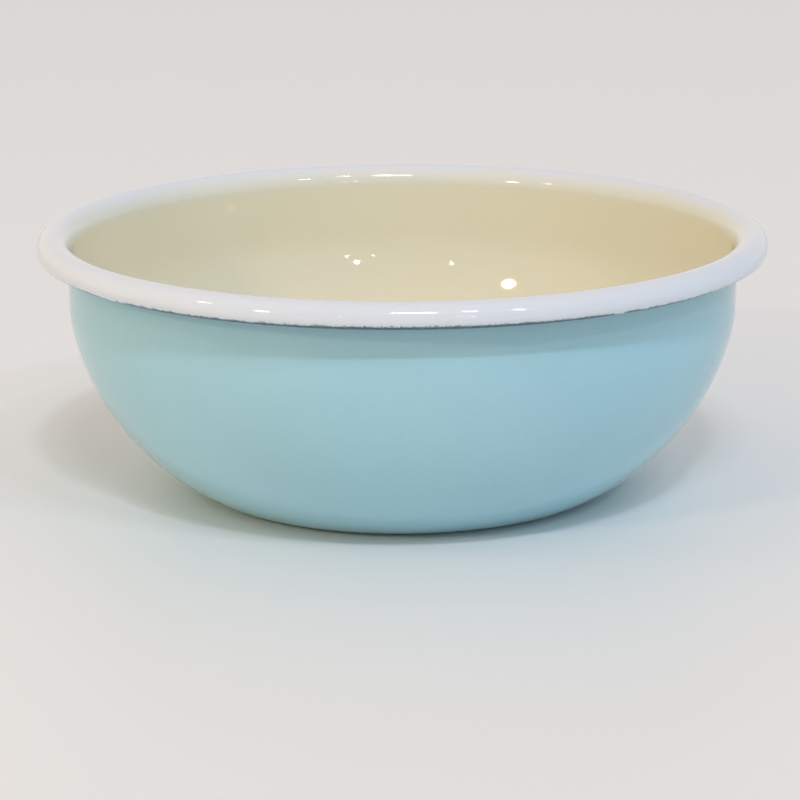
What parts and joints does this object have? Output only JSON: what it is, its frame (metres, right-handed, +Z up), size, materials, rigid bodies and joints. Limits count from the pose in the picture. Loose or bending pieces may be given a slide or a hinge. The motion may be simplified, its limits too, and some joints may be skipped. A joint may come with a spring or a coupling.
{
  "type": "enamel basin bowl",
  "caption": "Round enamelled steel bowl with a curved belly, a flat standing ring and a thick rolled rim, for mixing, washing or serving.",
  "frame": {"origin": "on the bowl's axis, in the plane that the foot ring stands on", "axes": "+Z up along the bowl's axis, out of its mouth; X and Y are any two level directions"},
  "size_m": [0.2, 0.2, 0.072],
  "materials": {
    "pressed_steel": "pressed, hidden under the coats",
    "ground_enamel": "dark glossy ground coat, bare only at the curl's edge",
    "turquoise_enamel": "glossy vitreous enamel",
    "cream_enamel": "glossy vitreous enamel",
    "white_enamel": "glossy vitreous enamel"
  },
  "bodies": {
    "root": {"steel_shell": "pressed_steel", "outer_ground_coat": "ground_enamel", "inner_ground_coat": "ground_enamel", "outer_enamel": "turquoise_enamel", "inner_enamel": "cream_enamel", "rim_enamel": "white_enamel"}
  },
  "joints": []
}
